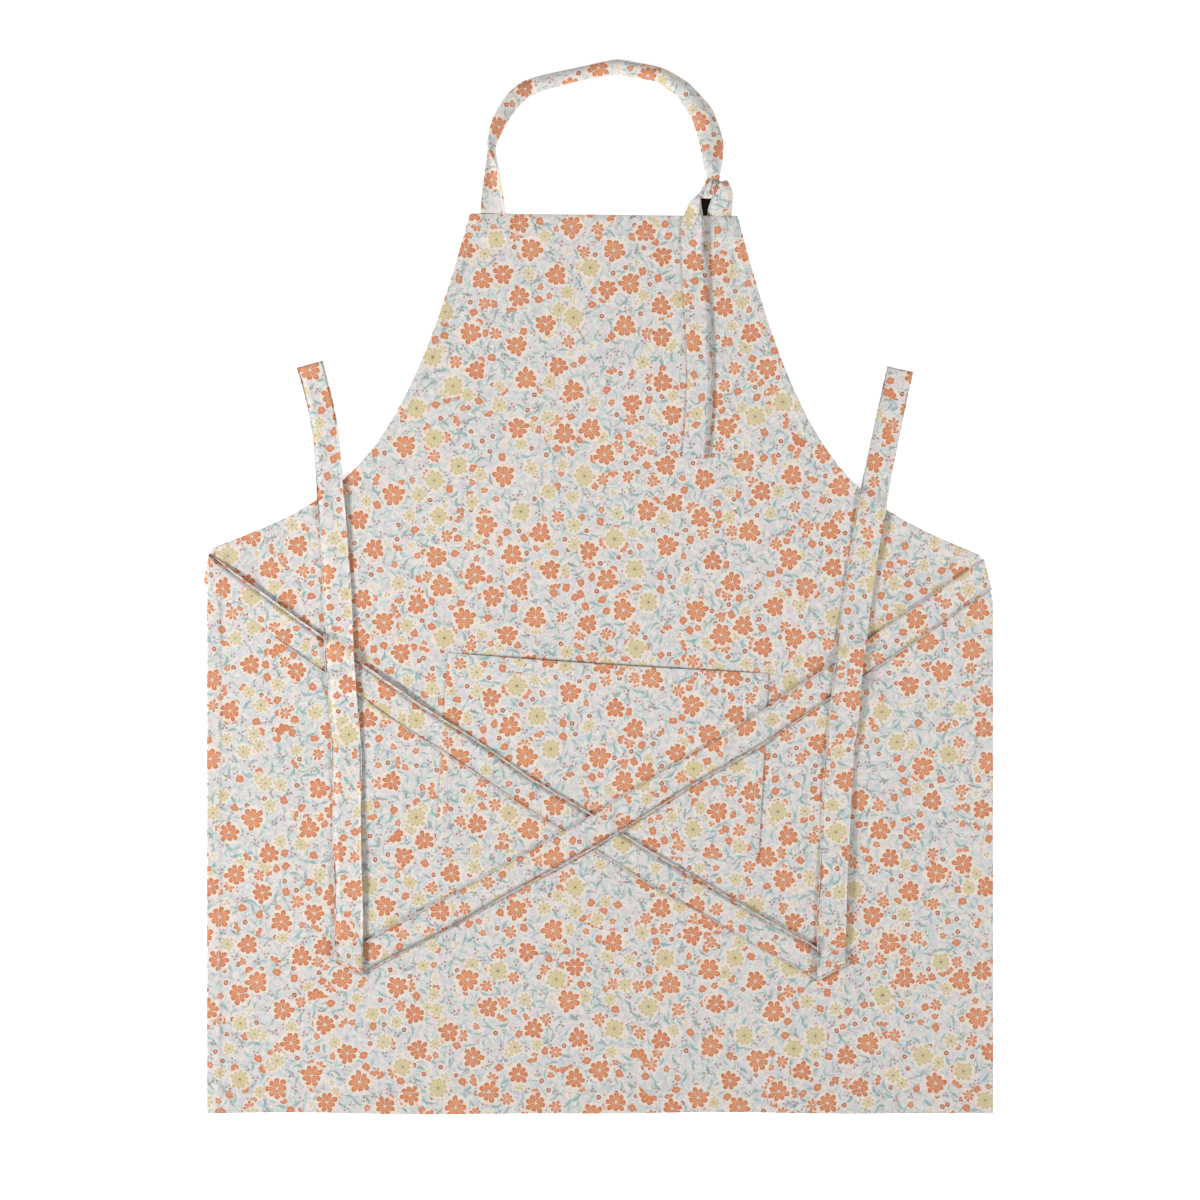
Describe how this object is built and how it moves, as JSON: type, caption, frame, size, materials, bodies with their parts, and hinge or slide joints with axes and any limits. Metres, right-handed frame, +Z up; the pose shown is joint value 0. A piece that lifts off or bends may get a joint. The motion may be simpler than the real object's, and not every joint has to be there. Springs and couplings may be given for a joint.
{
  "type": "bib apron",
  "caption": "Printed cotton bib apron laid flat, with a patch pocket, a knotted neck strap and two long waist ties crossed over the skirt.",
  "frame": {"origin": "on the table, on the skirt's centre line, half-way along the overall length", "axes": "+X to the right across the apron, +Y from the bottom hem towards the neck strap, +Z up from the table through the printed front"},
  "size_m": [0.7063, 0.9395, 0.0075],
  "materials": {
    "cotton_panel": "plain-woven cotton, printed with small orange and yellow flowers on a pale lilac grey ground",
    "cotton_pocket": "the same printed cotton",
    "cotton_strap": "the same printed cotton, folded in four and pressed",
    "sewing_thread": "matt cotton sewing thread"
  },
  "bodies": {
    "apron": {"body_panel": "cotton_panel", "top_hem": "cotton_panel", "bottom_hem": "cotton_panel", "left_side_hem": "cotton_panel", "right_side_hem": "cotton_panel", "left_armhole_hem": "cotton_panel", "right_armhole_hem": "cotton_panel", "pocket": "cotton_pocket", "pocket_turned_edges": "cotton_pocket", "pocket_mouth_hem": "cotton_pocket", "neck_strap_sewn_end": "cotton_strap", "neck_loop_sewn_end": "cotton_strap", "left_tie": "cotton_strap", "right_tie": "cotton_strap", "left_tie_fold": "cotton_strap", "right_tie_fold": "cotton_strap", "left_tie_sewn_end": "cotton_strap", "left_tie_side_fold": "cotton_strap", "right_tie_sewn_end": "cotton_strap", "right_tie_side_fold": "cotton_strap", "top_hem_stitching": "sewing_thread", "bottom_hem_stitching": "sewing_thread", "left_side_hem_stitching": "sewing_thread", "right_side_hem_stitching": "sewing_thread", "left_armhole_stitching": "sewing_thread", "right_armhole_stitching": "sewing_thread", "pocket_stitching": "sewing_thread", "pocket_mouth_stitching": "sewing_thread", "left_tie_stitching": "sewing_thread", "right_tie_stitching": "sewing_thread", "neck_strap_tack": "sewing_thread", "neck_loop_tack": "sewing_thread", "left_tie_tack": "sewing_thread", "right_tie_tack": "sewing_thread"},
    "neck_loop": {"neck_strap": "cotton_strap", "neck_loop": "cotton_strap", "neck_strap_stitching": "sewing_thread"},
    "tail_top": {"neck_strap_tail_top": "cotton_strap"},
    "tail": {"neck_strap_tail": "cotton_strap", "tail_stitching": "sewing_thread"},
    "left_tie_end": {"left_tie_end": "cotton_strap", "left_tie_end_stitching": "sewing_thread"},
    "right_tie_end": {"right_tie_end": "cotton_strap", "right_tie_end_stitching": "sewing_thread"}
  },
  "joints": [
    {"name": "neck_loop_lift", "type": "hinge", "parent": "apron", "child": "neck_loop", "pos_m": [0.008, 0.33025, 0.0015], "axis": [1, 0, 0], "range_deg": [0, 90]},
    {"name": "tail_follow", "type": "hinge", "parent": "neck_loop", "child": "tail_top", "pos_m": [0.0825, 0.34495, 0.0028], "axis": [1, 0, 0], "range_deg": [-90, 0]},
    {"name": "tail_lift", "type": "hinge", "parent": "tail_top", "child": "tail", "pos_m": [0.0815, 0.32195, 0.0028], "axis": [-1, 0, 0], "range_deg": [0, 90]},
    {"name": "left_tie_end_lift", "type": "hinge", "parent": "apron", "child": "left_tie_end", "pos_m": [0.206, -0.34325, 0.0049], "axis": [0.8635, 0.5044, 0], "range_deg": [0, 180], "deforming": ["left_tie_fold"]},
    {"name": "right_tie_end_lift", "type": "hinge", "parent": "apron", "child": "right_tie_end", "pos_m": [-0.224, -0.33825, 0.00555], "axis": [0.8564, -0.5163, 0], "range_deg": [0, 180], "deforming": ["right_tie_fold"]}
  ],
  "couplings": [
    {"joint": "tail_follow", "follows": "neck_loop_lift", "ratio": -1}
  ]
}
